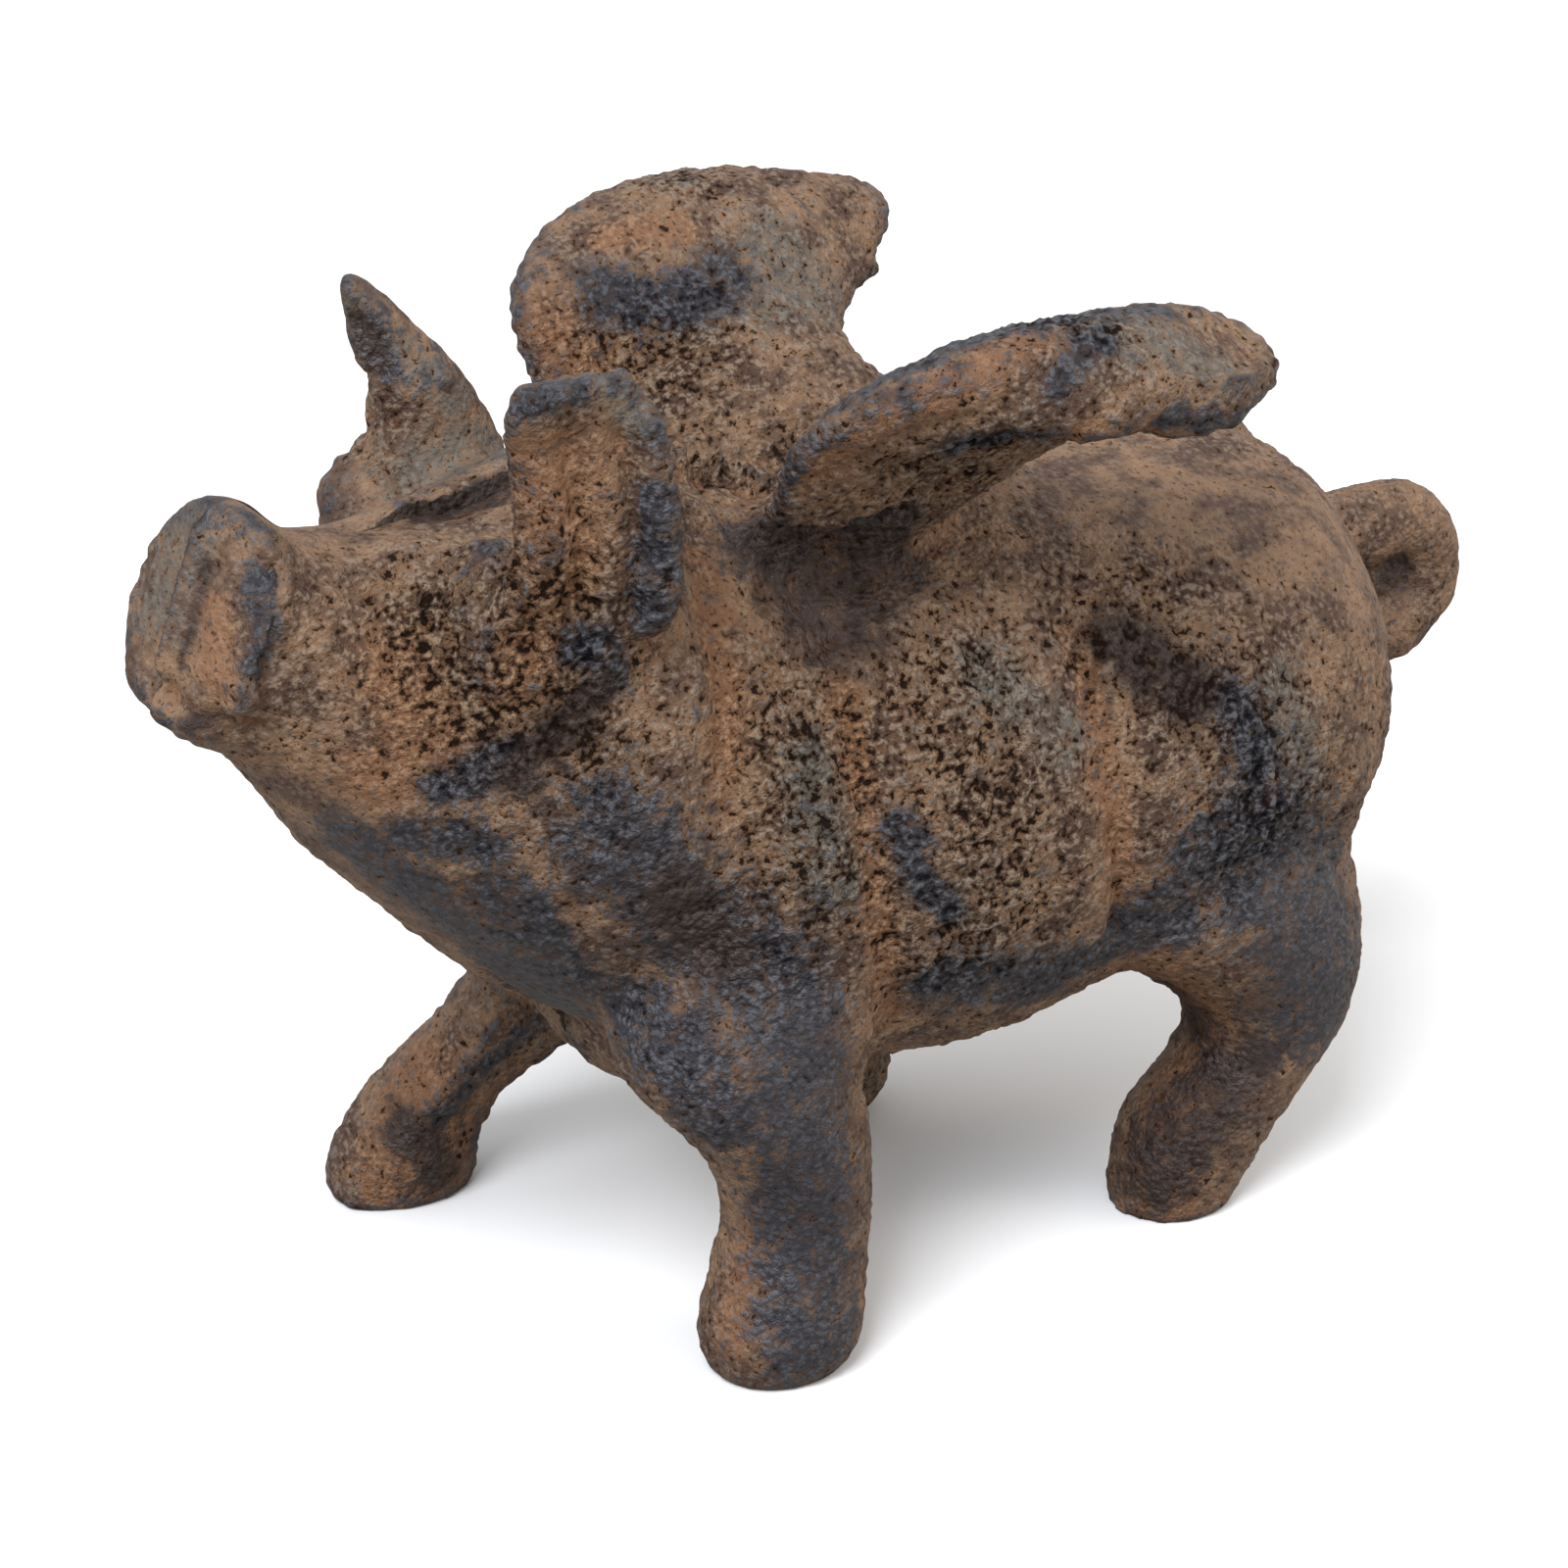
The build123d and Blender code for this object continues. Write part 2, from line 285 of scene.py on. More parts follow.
def tell(what):
    """Prints how far a step moved the clay of each half, at most."""
    moved = {}
    for name, clay in clays.items():
        moved[name] = round(float(np.linalg.norm(clay.at - before[name], axis=1).max()), 2)
        before[name] = clay.at.copy()
    print(what, "moved the clay by up to these mm:", moved)


for screw in ("neck_screw", "withers_screw", "rump_screw"):
    low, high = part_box(screw)
    x, z = (low[0] + high[0]) / 2 / MM, (low[2] + high[2]) / 2 / MM
    clays["right_casting"].hold(x, z, HELD, LET_GO)
for name, clay in clays.items():
    before[name] = clay.at.copy()
    clay.blend(BLEND_PASSES)
tell("blending")

# %% [markdown]
# Two tools for the sculptor.
# A stroke is carved into both halves or into one, and a rub smooths what a stroke has left too sharp.
# Two short functions that know the halves save a loop at each of the many strokes that follow.

# %% Tools that work on both halves
LEFT = ("left_casting",)
RIGHT = ("right_casting",)
BOTH = LEFT + RIGHT


def carve(points, width, height, along=None, halves=BOTH):
    """One stroke on the halves that it touches."""
    for name in halves:
        clays[name].stroke(points, width, height, along)


def rub(points, width, times, halves=BOTH):
    """Smooths the halves near the points."""
    for name in halves:
        clays[name].soften(points, width, times)


print("tools: carve and rub, on", BOTH)

# %% [markdown]
# The head.
# The snout is a disc with a worn near edge, a groove behind it and a short mouth under it. The
# forehead shows how the ornament is made: the far half stands a little proud of the near one along
# the parting plane, so there is a lip with a dark step under it. Cuts in the CAD model would give such
# forms hard edges, and strokes leave them worn. Each line below is one such form.

# %% Sculpt the snout and the forehead
BACKWARD = (0.92, 0, -0.39)
RIDGE = [(-50.6, 0, 62), (-52, 0, 58.8), (-53.3, 0, 55.7), (-54.3, 0, 53.2)]
carve([(x, -5.4, z) for x, y, z in RIDGE], 3.3, 2.4, BACKWARD)
carve(RIDGE, 0.9, -0.7, BACKWARD)
carve([(-51.6, -2.2, 60.8), (-53, -2.2, 57.5), (-53.8, -2.0, 54.5)], 0.7, -0.3)
carve([(-48.9, -5.6, 61.3), (-49.3, -7.4, 58.3), (-49.3, -7.7, 55)], 1.1, -1.1)
carve([(-54.3, 0, 53), (-54.2, -3.3, 51.6), (-52.3, -4.6, 51.0), (-50.4, -5.2, 50.2)], 0.8, -0.8)
carve([(-51.5, -1.5, 49.6)], 2.2, 0.5)
carve([(-44, 0, 61), (-41, 0, 60.6)], 3.0, -0.5)
carve([(-35, 1.0, 60.2), (-31, 1.5, 60.8), (-26.5, 2.0, 61.6)], 2.8, 1.0, halves=RIGHT)
carve([(-33, -0.5, 60.4), (-30, -0.8, 60.8), (-26.5, -1.0, 61.4)], 1.5, -0.7, halves=LEFT)
carve([(-38.6, -5, 59.0), (-38.0, -9, 56.8)], 2.8, 1.1, halves=LEFT)
carve([(-41, -7, 56.6), (-39.0, -8.8, 55.4), (-37.2, -10, 54.9)], 0.9, -0.7, halves=LEFT)
carve([(-39.5, -10.5, 51.5), (-35.5, -13, 49.5)], 4.0, 0.5)
tell("the snout and the forehead")

# %% [markdown]
# The ears.
# The near ear is cupped: its face is a shallow hollow that runs down into the cheek, with a raised
# rim at the top and at the back. The far ear is pointed, with a narrow hollow along its front. The CAD
# ears have the right place and size, so hollows and rims on them do, and no new ears are built.

# %% Sculpt the ears
rub([(-36, -13.5, 53), (-32, -14.5, 52), (-28, -14.5, 52)], 3.0, 40, LEFT)
edge = [(-36.0, -9.8, 63), (-36.3, -10.2, 60), (-36.6, -10.6, 57.5), (-36.4, -11.4, 55)]
carve(edge, 2.3, 3.4, (-0.45, -0.8, 0.2), LEFT)
carve([(-34.6, -9, 58.5), (-35.5, -11, 58)], 3.0, 3.2, (-0.15, -0.1, 1), LEFT)
rub([(-36.6, -12, 61.5), (-36.4, -12.4, 58), (-35.6, -13, 54.5)], 2.2, 50, LEFT)
edge = [(-37, -15, 68), (-36.8, -14.5, 64), (-36.6, -14, 60), (-36.6, -13.3, 56)]
carve(edge, 2.0, 1.7, (0.4, 1, 0), LEFT)
carve([(-33.2, -16.5, 68), (-32.6, -16.4, 63), (-33.0, -15.8, 58)], 2.7, -2.2, halves=LEFT)
groove = [(-30.4, -17, 69), (-29.8, -17.4, 65), (-29.4, -17.1, 61), (-29.6, -16.2, 57)]
carve(groove, 0.9, -0.9, halves=LEFT)
rim = [(-28.0, -17, 69.5), (-27.4, -17.4, 65), (-26.9, -17.1, 61), (-27.1, -16.6, 56)]
carve(rim, 1.1, 1.1, halves=LEFT)
carve([(-36.0, -15.6, 72.4), (-32.6, -16.2, 72.6), (-29.5, -16.3, 72)], 1.0, 0.5, halves=LEFT)
carve([(-31.9, 14, 69), (-31.2, 12.4, 66), (-31.0, 10.8, 63)], 1.4, -0.9, halves=RIGHT)
carve([(-32.5, 14, 64.5), (-32, 13.8, 62.3)], 1.6, 1.3, (1, 0, 0), RIGHT)
carve([(-34, 13.5, 58.3), (-36, 11, 59)], 2.2, 1.6, (-1, 0, 0.3), RIGHT)
carve([(-27.2, 11.4, 64.9)], 0.6, 0.7, halves=RIGHT)
tell("the ears")

# %% [markdown]
# The body.
# Upright creases part the neck, the shoulder, the ribs and the thigh, and the flesh between them
# swells a little. They are wide soft strokes, because the real creases are pressed, not cut.

# %% Sculpt the creases and the swellings
neck = [(-19.5, -7.5, 58.8), (-21.5, -13.8, 54), (-22, -15.5, 50.5), (-22.7, -16.6, 47), (-24, -17, 43.5)]
shoulder = [(-13, -13.5, 51), (-14, -17, 45), (-14, -19, 40), (-13, -19.6, 33), (-10.3, -16.8, 24.5)]
thigh = [(4.5, -16.5, 49), (4.7, -19.3, 44.7), (4.6, -21, 40), (5.6, -21.1, 36), (7, -19.7, 27.5)]
carve(neck, 1.8, -0.9)
carve(shoulder, 1.6, -0.8)
carve(thigh, 1.6, -0.7)
carve([(5.4, -21.1, 36.5), (6.4, -20.5, 31.5), (7, -19.7, 27.5)], 0.6, -0.5)
carve([(-18, -17, 45), (-17.5, -19, 38)], 2.6, 0.5)
carve([(-5.5, -19, 44), (-5.5, -21, 36)], 4.0, 0.5)
carve([(14, -20, 44), (17, -22, 36)], 5.0, 0.5)
carve([(-28, -16.5, 53.5), (-29.5, -16, 49.5)], 2.2, -0.6)
carve([(-16.5, -9, 57.6), (-12.4, -11, 55.2), (-9.6, -11.5, 54)], 2.4, -0.8)
carve([(27.8, -19.8, 34), (29, -18, 30)], 2.6, 0.8)
carve([(-33.9, -4.3, 29.3), (-30.4, -3, 26.1), (-26, -0.6, 21.8)], 0.6, -0.6, halves=LEFT)
for side in (-1, 1):
    carve([(20, side * 14, 24), (14, side * 15, 23)], 1.6, -0.5)
tell("the creases and the swellings")

# %% [markdown]
# The right foreleg.
# It has a sharp front edge that ends in a pointed toe, with flat faces beside it. A ridge down the
# front and a shallow stroke on each side of it bring that out of the round leg of the CAD model.

# %% Sculpt the right foreleg
carve([(-22.5, 13.8, 15), (-25, 15.2, 11), (-28, 16.4, 7.5)], 1.0, 0.9, (-0.75, -0.4, 0.3), RIGHT)
carve([(-24.5, 17.5, 14), (-28, 18.5, 9)], 1.6, -0.5, halves=RIGHT)
carve([(-22, 12.5, 10), (-25, 13.5, 6)], 1.6, -0.5, halves=RIGHT)
carve([(-31, 18.5, 1.5)], 2.2, 1.6, (-0.6, 0.6, 0), RIGHT)
tell("the right foreleg")

# %% [markdown]
# The wings.
# They are stout feathered slabs. Shallow grooves run along them, and the trailing edge is scalloped
# by the feather tips. The underside is pushed up towards the root, and the near wing's tip is thinned.
# The strokes are made for one side and turned over for the other, as the wings are nearly a pair.

# %% Sculpt the wings
UP = (0, 0, 1)
for side in (-1, 1):
    root = [(-16, 12, 57), (-12, 11.8, 56), (-8.8, 13.5, 57.4), (-4.5, 14.5, 59)]
    carve([(x, side * y, z) for x, y, z in root], 2.4, 2.6, UP)
    carve([(-8, side * 17.5, 61.5), (-3, side * 19.5, 63.3), (2, side * 24, 66)], 2.0, 1.0, UP)
    carve([(-17, side * 17.0, 63.5), (-13, side * 21.5, 67.5), (-6, side * 24.5, 70)], 0.8, -0.5)
    carve([(-13, side * 17.5, 62), (-8, side * 22, 66), (0, side * 26, 68.5)], 0.8, -0.4)
    outwards = (1, side * 0.3, 0)
    for out, back, up in ((15.5, 6.3, 64.5), (18.5, 11.3, 67.0), (21.5, 14.8, 68.2)):
        carve([(back, side * out, up)], 0.9, 0.8, outwards)
    carve([(10.2, side * 15.7, 65.4)], 1.3, 1.2, (1, 0, 0))
    for out, back, up in ((14.0, 4.7, 63.5), (17.0, 9.0, 66.0), (20.0, 13.2, 67.9), (22.8, 15.8, 68.2)):
        carve([(back, side * out, up)], 0.6, -0.5, outwards)
carve([(12, -24, 70.5), (9, -24, 71.3)], 2.5, -1.3, UP, LEFT)
carve([(12, -26.4, 66.6), (8, -27.3, 66.4), (3, -27.3, 65.8)], 2.0, 1.4, UP, LEFT)
tell("the wings")

# %% [markdown]
# Flash.
# Metal that squeezes out between the halves of the mould stays on as thin ragged fins along the
# parting plane: at the nape, as a tongue behind it, and as a fine ridge and a nub along the rump. It
# breaks off unevenly, so the teeth at the nape come from a loop that takes their height from noise.

# %% Sculpt the flash
FIN = (0, -0.4, 1)
TEETH, FRONT, TOP, FALL = 9, -18.5, 60.0, 0.45  # a tooth for each millimetre, from the nape back
for tooth in range(TEETH):
    x = FRONT + tooth
    ragged = noise.noise(Vector((x * 1.7, 0, 0)))
    carve([(x, -0.4, TOP - FALL * tooth)], 0.75, 1.9 + 1.3 * ragged, FIN)
carve([(-12.0, -0.8, 57), (-10.4, -1.4, 56.4), (-9.2, -1.6, 56)], 0.9, 1.8, FIN)
carve([(8, 0, 56), (20, 0, 56), (33, 0, 52)], 0.45, 0.3, FIN)
carve([(31.8, 0, 53)], 0.8, 0.6, FIN)
tell("the flash")

# %% [markdown]
# Coarse and smooth places.
# A sand casting is rough where sand broke from the mould, and smooth where hands have rubbed it. The
# flank and the cheeks are the coarsest here, and the snout, the back and the legs the smoothest. Each
# place is a few points and a width, like a stroke.

# %% Coarse and smooth places
COARSE = (
    ([(-17, -17, 46), (-17, -19, 38)], 6),
    ([(-6, -18, 48), (-5, -21, 38), (-6, -20, 32)], 6),
    ([(9, -18, 48), (15, -21, 42), (18, -21, 34)], 6),
    ([(-39, -9, 56), (-37, -12, 51), (-33, -15, 50), (-34, -16, 58)], 5),
    ([(-10, -18, 66), (0, -23, 70)], 3),
    ([(-12, 12, 62), (-4, 13, 63)], 5),
)
SMOOTH = (
    ([(-53.5, 3, 56), (-53.5, -1.5, 56), (-51, 1, 62)], 3.4),
    ([(-47, 0, 62.5), (-42, 3, 60.5), (-38, 7, 60), (-36, 11, 58)], 4.0),
    ([(-34, 6, 60.5), (-29, 7, 61), (-25, 8, 61)], 4.0),
    ([(-31, 13.5, 71), (-27.5, 12, 66), (-25, 11, 62)], 2.6),
    ([(-45, -4, 44), (-38, -5, 35), (-31, -6, 27)], 4.0),
    ([(-19, -19.5, 24), (-18.5, -20.4, 6)], 4.0),
    ([(22, -19, 25), (25, -19, 14)], 4.0),
    ([(14, -8, 55.5), (24, -11, 52), (33, -12, 45)], 4.5),
)
EVERYWHERE = 0.45  # the coarseness where nothing else is said


def mirrored(points):
    """The same points on the other side."""
    return [(x, -y, z) for x, y, z in points]


def felt_by(clay, patches):
    """How strongly each point feels a list of patches, from 0 to 1."""
    total = np.zeros(clay.count)
    for points, width in patches:
        total = np.maximum(total, clay.near(points, width))
    return total


coarse = {}
for name, clay in clays.items():
    rough = felt_by(clay, COARSE + tuple((mirrored(points), width) for points, width in COARSE))
    coarse[name] = (EVERYWHERE + (1 - EVERYWHERE) * rough) * (1 - felt_by(clay, SMOOTH))
print("coarse share:", {name: round(float(c.mean()), 3) for name, c in coarse.items()})

# %% [markdown]
# Lumps and clumps of sand.
# Slow lumps of 8 and 3.2 mm come from the worn pattern that the mould was made with. Grains of sand
# stick together in clumps of just under a millimetre, which stand up most in the coarse places. Both
# are noise that moves the clay along its normal, so they are real shape and not only shading. The
# soles stay flat.

# %% Lumps and clumps
LUMPS = ((8.0, 0.30, 0.5), (3.2, 0.14, 0.3))  # size and height in mm, and a seed
CLUMP, CLUMP_HEIGHT, CLUMP_SEED = 0.85, 0.6, 7.0
SOLE = 1.5  # mm over which the lumps fade towards the floor


def noise_at(clay, size, seed):
    """Smooth noise from -1 to 1 with bumps of about that size in millimetres."""
    return np.array([noise.noise(Vector(p / size) + Vector((seed, seed, seed))) for p in clay.at])


clumps = {}
for name, clay in clays.items():
    height = sum(tall * noise_at(clay, size, seed) for size, tall, seed in LUMPS)
    clumps[name] = noise_at(clay, CLUMP, CLUMP_SEED)
    height += CLUMP_HEIGHT * coarse[name] * clumps[name]
    off_sole = np.clip(clay.at[:, 2] / SOLE, 0, 1) * clay.free
    clay.at += clay.normals() * (height * off_sole)[:, None]
tell("lumps and clumps")

# %% [markdown]
# Rust orange dabs.
# On the real pig, rust orange was left in the creases, in the ear's hollow and on the feet, where a
# hand doesn't rub. Noise alone would scatter it anywhere, so each dab is set where the photograph
# shows one. A dab is a few points and a width, as a stroke is.

# %% Rust orange dabs
RUST = (
    ([(-34, -17, 68), (-33.5, -17, 64), (-34.5, -16, 60.5)], 3.2),
    ([(-42, -9, 53.5), (-40.5, -10, 49.5), (-43, -8, 47)], 3.0),
    ([(-36.5, -13, 53), (-35, -15.5, 57)], 2.6),
    ([(-52.3, -3.5, 58), (-52.8, -4.5, 55)], 1.6),
    ([(-20, -9.5, 58), (-21.5, -13.8, 54), (-22, -15.5, 50.5), (-23, -16.6, 46)], 1.7),
    ([(-13.5, -16, 48), (-14, -19, 40), (-13, -19.6, 33), (-10.3, -16.8, 24.5)], 1.5),
    ([(4.7, -18, 47), (4.6, -21, 40), (5.6, -21, 36), (7, -19.7, 27.5)], 1.3),
    ([(11.4, -17, 23.7), (19.6, -14.4, 13.5), (15.4, -14.8, 5.3), (16, -16, 2)], 3.2),
    ([(-27.7, 17.3, 10.4), (-30.6, 17, 3.2), (-24.4, 16, 5.9)], 3.6),
    ([(-17, -17.4, 64.7), (-14, -21.5, 69), (-8.6, -23.5, 71), (-2.5, -23.5, 71.5)], 1.7),
    ([(-6, -23, 66.5), (0, -26, 67), (8, -27, 66)], 1.7),
    ([(-16.3, 15.6, 66)], 2.6),
    ([(-9.8, 18.2, 70.7), (-4.8, 17.2, 70.6)], 1.6),
    ([(-14.7, 13.1, 63.6)], 2.4),
    ([(2, 14, 64), (4, 12, 62)], 1.8),
    ([(-21, -17, 11), (-23.4, -17.3, 4)], 1.8),
)
print("rust orange dabs:", len(RUST))

# %% [markdown]
# Blue-black dabs.
# Blue-black was brushed over the edges that stand out, the shoulder, the thigh, the chest and the legs.
# It is the darkest of the paints and shows from afar, so it has the most dabs.

# %% Blue-black dabs
WASH = (
    ([(-28.4, -17.2, 65), (-28.2, -17.2, 60.3), (-28.6, -16.7, 56.5)], 1.7),
    ([(-36.5, -16, 72), (-33, -16, 72.3)], 1.2),
    ([(-30.2, -16.6, 53), (-33, -16.5, 55.8)], 1.9),
    ([(-39.9, -10.8, 46.5), (-36.4, -12.6, 48)], 1.8),
    ([(-49.6, -5.6, 61), (-50, -6.6, 59), (-50.2, -7.4, 55)], 1.2),
    ([(-31.3, -16, 43), (-26, -16, 36), (-21, -18, 31)], 4.5),
    ([(-36, -11, 38), (-30, -10, 30)], 3.0),
    ([(-19.5, -19.5, 26.6), (-19.5, -20.4, 18), (-18.4, -20, 4)], 4.6),
    ([(-11.4, -19.6, 40), (-10.4, -20, 36), (-8, -20, 34)], 1.5),
    ([(-3.8, -18.6, 26.3), (2, -18, 25)], 3.5),
    ([(15.2, -21, 42.8), (16.8, -22, 38.5)], 2.2),
    ([(16.7, -21.5, 32.3), (23.3, -20.4, 26), (26, -20, 18)], 6.5),
    ([(13, -20, 34), (9, -19, 29)], 2.6),
    ([(-24, -16.5, 33), (-19, -19, 29)], 4.0),
    ([(-8, -20, 27), (2, -20, 25), (12, -20, 27)], 2.4),
    ([(-44, -6, 42), (-36, -8, 34), (-28, -6, 27)], 3.0),
    ([(-27, -13, 28), (-23, -16, 22)], 4.0),
    ([(-42, -9, 43), (-38, -12, 42)], 1.8),
    ([(-15.4, -18.6, 69), (-10, -20.5, 71.6), (-0.8, -21.2, 72.5), (7, -21.5, 72)], 1.9),
    ([(-9, -21, 66.5), (-4, -23.5, 69), (0, -24, 71.3)], 1.5),
    ([(-10.3, -13.5, 57.7), (-6.8, -13, 57.3)], 2.0),
    ([(3.3, -27.3, 66.8), (10.6, -27, 65.3)], 1.2),
    ([(-11.8, 15.3, 67.5), (-6.7, 13, 66.5), (-3, 13.8, 67.9)], 2.6),
    ([(22.3, -18.4, 12.8), (20, -16, 11.8)], 1.8),
    ([(-21, 12.5, 15), (-24, 14.2, 12), (-26, 15.5, 9), (-29.5, 17, 6.3)], 1.2),
    ([(-31.8, 13, 68.5), (-31, 12, 66)], 1.3),
    ([(-16.3, -9, 58.2), (-14, -12.5, 56.8)], 2.4),
)
print("blue-black dabs:", len(WASH))

# %% [markdown]
# Rubbed grey and painted shade.
# Pale grey dabs on the snout, the forehead, the ears, the wings, the flanks and a foreleg are partly
# paint rubbed to grey and partly painted highlight, the cool sheen of light from above on the left.
# Painted shade is the dark brown that fills the deepest places, where shade falls: under the wings,
# under the forehead's lip and in the mouth.

# %% Rubbed grey and painted shade dabs
# pale grey dabs: rubbed paint and painted highlight
RUBBED_AND_HIGHLIGHT_DABS = (
    ([(-53, 2.6, 58), (-51, 1.6, 62)], 3.6),
    ([(-30, 9.5, 59), (-25, 10, 60), (-33, 6, 60), (-28, 3, 62)], 3.2),
    ([(-32.8, 14.7, 70), (-26.5, 12, 63.5)], 2.0),
    ([(-29.3, -17, 70), (-31, -16.5, 72.2)], 1.5),
    ([(-3, -17, 48.4), (1.4, -19.8, 42.7)], 2.8),
    ([(1.9, 14.9, 69), (3.5, 12.4, 65.7), (-1, 12, 65)], 3.6),
    ([(2, -24.7, 72), (8, -26.2, 69.5)], 3.0),
    ([(-17.6, -17.5, 45), (-16.8, -19.7, 37.4)], 2.6),
    ([(19.4, -20.6, 43.2), (21.7, -21.4, 35.6)], 2.6),
    ([(-20, -18.7, 9.4)], 1.5),
)
# dark brown painted shade in hollows, creases and under the wings and the lip
SHADE_DABS = (
    ([(-17, -9, 58), (-12.4, -11, 55.2), (-9.6, -11.5, 54), (-5.5, -11.5, 54)], 2.4),
    ([(-36, -0.5, 60.0), (-31, -0.5, 60.6), (-27, -0.5, 61.4)], 0.7),
    ([(-31.9, 14, 69), (-31.2, 12.4, 66.5)], 1.0),
    ([(8, -18, 48), (12, -19.5, 44)], 2.8),
    ([(-51.6, -2.2, 60.8), (-53, -2.2, 57.5), (-53.8, -2.0, 54.5)], 0.45),
    ([(-54.2, -3.3, 51.6), (-52.3, -4.6, 51.0)], 0.7),
    ([(22, -14, 16), (19, -13, 20)], 2.6),
    ([(20, -17, 12), (15.5, -15, 4)], 4.0),
    ([(-14, -11, 55), (-12, -13, 52), (-8, -13, 55)], 3.6),
    ([(-29, 17, 7), (-27, 16, 3)], 2.2),
    ([(-33.9, -4.3, 29.3), (-30.4, -3, 26.1)], 0.5),
    ([(-36, -12, 47), (-31, -15, 52)], 1.6),
    ([(-27, -16, 38), (-24, -17, 33)], 2.5),
)
print("rubbed grey dabs:", len(RUBBED_AND_HIGHLIGHT_DABS), "soot dabs:", len(SHADE_DABS))

# %% [markdown]
# Where the paint goes.
# The brush and the wear follow the shape as well: blue-black on what stands out of the smoothed clay,
# rust orange in what lies below it. Over that come the dabs. Rust orange, blue-black, rubbed grey with
# painted highlight, and painted shade are the channels of one colour attribute, which the material
# reads, so paint and shape always fit each other.

# %% Spread the paint over the clay
OUT_FROM, OUT_OVER = 0.15, 0.7  # mm that a crest stands out
IN_FROM, IN_OVER = 0.05, 0.35  # mm that a hollow lies in
MOST = 0.7  # of a paint, from the shape alone
DAB_STRENGTH = 1.3  # over 1, so that the whole middle of a dab is fully painted


def both_flanks(layer):
    """The dabs, with those of the left flank and legs repeated on the right."""
    low_left = [d for d in layer if all(y < -8 and z < 50 for x, y, z in d[0])]
    return layer + tuple((mirrored(points), width) for points, width in low_left)


def standing_out(clay, times=40):
    """How far each point stands out of the smoothed clay, in millimetres."""
    smooth = clay.at
    for _ in range(times):
        smooth = clay.around(smooth)
    return ((clay.at - smooth) * clay.normals()).sum(1)


dabs = {}
for name, clay in clays.items():
    out = standing_out(clay)
    felt = [felt_by(clay, both_flanks(layer)) for layer in (RUST, WASH, RUBBED_AND_HIGHLIGHT_DABS, SHADE_DABS)]
    felt = [np.clip(DAB_STRENGTH * share, 0, 1) for share in felt]
    felt[0] = np.maximum(felt[0], np.clip((-out - IN_FROM) / IN_OVER, 0, MOST))
    felt[1] = np.maximum(felt[1], np.clip((out - OUT_FROM) / OUT_OVER, 0, MOST))
    dabs[name] = np.stack(felt, 1)
    print(name, "stands out by", [round(float(v), 2) for v in np.percentile(out, (5, 50, 95))], "mm")

# %% [markdown]
# Cutting back to the parting plane.
# The grown clay is cut where the halves meet, the CAD inside is put back, and the flat ring between
# the two outlines is filled, so each half is again one closed hollow casting.

# %% Close the halves
BOX_LOW = np.array([v / MM for v in cad_low])
BOX_HIGH = np.array([v / MM for v in cad_high])


def paint_attributes(mesh, paint, coarseness, height):
    """Stores the paint, the coarseness and the height of the clumps on a mesh, for the material."""
    layer = mesh.attributes.new("paint", "FLOAT_COLOR", "POINT")
    layer.data.foreach_set("color", paint.astype(np.float32).ravel())
    for kind, values in (("coarse", coarseness), ("raised", height)):
        layer = mesh.attributes.new(kind, "FLOAT", "POINT")
        layer.data.foreach_set("value", values.astype(np.float32))


def closed_half(name, outward):
    """One finished casting half as an object."""
    clay = clays[name]
    clay.at = np.clip(clay.at, BOX_LOW, BOX_HIGH)
    clay.write()
    paint_attributes(clay.mesh, dabs[name], coarse[name], clumps[name])
    bm = bmesh.new()
    bm.from_mesh(clay.mesh)
    everything = bm.verts[:] + bm.edges[:] + bm.faces[:]
    to_other_half = (0, -outward, 0)
    bmesh.ops.bisect_plane(
        bm, geom=everything, plane_co=(0, 0, 0), plane_no=to_other_half, clear_outer=True
    )
    extra = bpy.data.meshes.new("inside")
    insides[name].to_mesh(extra)
    bm.from_mesh(extra)
    made = bmesh.ops.triangle_fill(bm, edges=open_edges(bm), use_beauty=True, normal=to_other_half)
    area = sum(g.calc_area() for g in made["geom"] if isinstance(g, bmesh.types.BMFace)) / MM ** 2
    bmesh.ops.recalc_face_normals(bm, faces=bm.faces)
    mesh = bpy.data.meshes.new(name + "_sculpted")
    bm.to_mesh(mesh)
    for polygon in mesh.polygons:
        polygon.use_smooth = True
    thing = new_object(name.replace("casting", "half"), mesh)
    triangles = sum(len(p.vertices) - 2 for p in mesh.polygons)
    print(thing.name, "has", triangles, "triangles and", len(open_edges(bm)), "open edges")
    print("its face on the parting plane is", round(area), "mm2")
    return thing


sculpted = {name: closed_half(name, outward) for name, outward in OUTWARD.items()}

# %% [markdown]
# The tail.
# The curled tail is a piece of its own. Its curl is closed by a thin web of metal, which leaves a
# small pit in the middle. A flattened ball serves as the web, because the remesh melts it and the CAD
# tail into one. The voxels are finer than those of the halves, as the tail is small.

# %% Sculpt the tail
CURL_CENTRE = Vector((47.6, -0.6, 39.9)) * MM
WEB_RADIUS, WEB_THICKNESS = 3.6, 1.1
TAIL_VOXEL = 0.3
ROOT_END, ROOT_FADE = 39.5, 1.5  # the root inside the body stays smooth, as it has to fit its pocket
TAIL_LUMPS = ((2.4, 0.25, 2.0), (0.6, 0.12, 3.0))
FIT = 0.05  # mm that the tail is drawn in, so that its lumps stay in the CAD model's box
tail_low, tail_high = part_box("tail")
bm = bmesh.new()
bm.from_mesh(nodes["tail"].data)
bmesh.ops.remove_doubles(bm, verts=bm.verts, dist=WELD)
for vert in bmesh.ops.create_icosphere(bm, subdivisions=3, radius=1)["verts"]:
    wide, thick, tall = vert.co
    vert.co = Vector((WEB_RADIUS * wide, WEB_THICKNESS * thick, WEB_RADIUS * tall)) * MM + CURL_CENTRE
